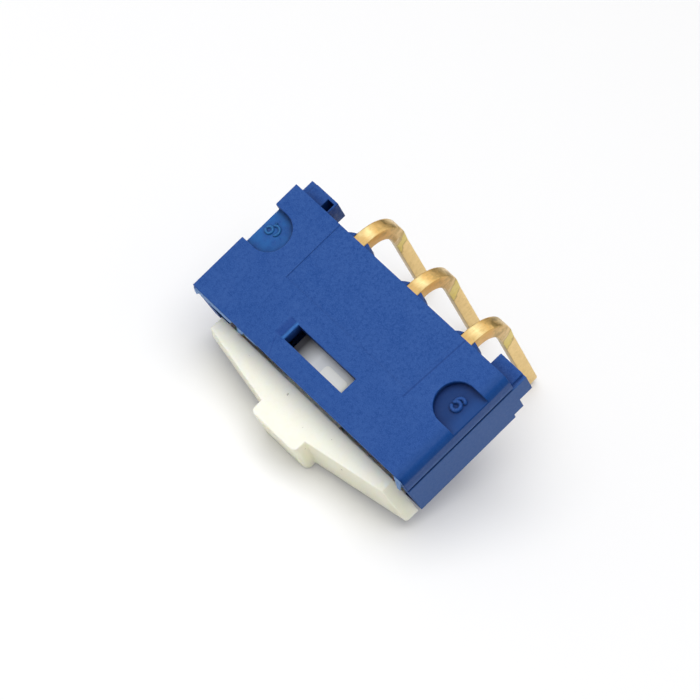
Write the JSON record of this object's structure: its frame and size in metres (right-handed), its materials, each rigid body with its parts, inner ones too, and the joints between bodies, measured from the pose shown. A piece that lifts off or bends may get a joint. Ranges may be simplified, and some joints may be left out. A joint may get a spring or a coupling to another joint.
{
  "type": "slide switch",
  "caption": "Right-angle miniature slide switch with a side-acting slider and bent terminals for through-hole soldering.",
  "frame": {"origin": "centre of the housing's underside, which seats on the board", "axes": "+X along the terminal row, -Y towards the slider, +Z away from the board"},
  "size_m": [0.0101, 0.0077, 0.0068],
  "materials": {
    "housing_plastic": "fine matt moulding",
    "slider_plastic": "fine matt moulding",
    "spring_metal": "bright rolled strip",
    "terminal_metal": "satin plated strip"
  },
  "bodies": {
    "housing": {"cover": "housing_plastic", "base": "housing_plastic", "terminal_left": "terminal_metal", "terminal_common": "terminal_metal", "terminal_right": "terminal_metal"},
    "slider": {"slider": "slider_plastic", "contact_bridge": "spring_metal"}
  },
  "joints": [
    {"name": "slider_slide", "type": "slide", "parent": "housing", "child": "slider", "axis": [1, 0, 0], "range_m": [-0.00075, 0.00025]}
  ]
}
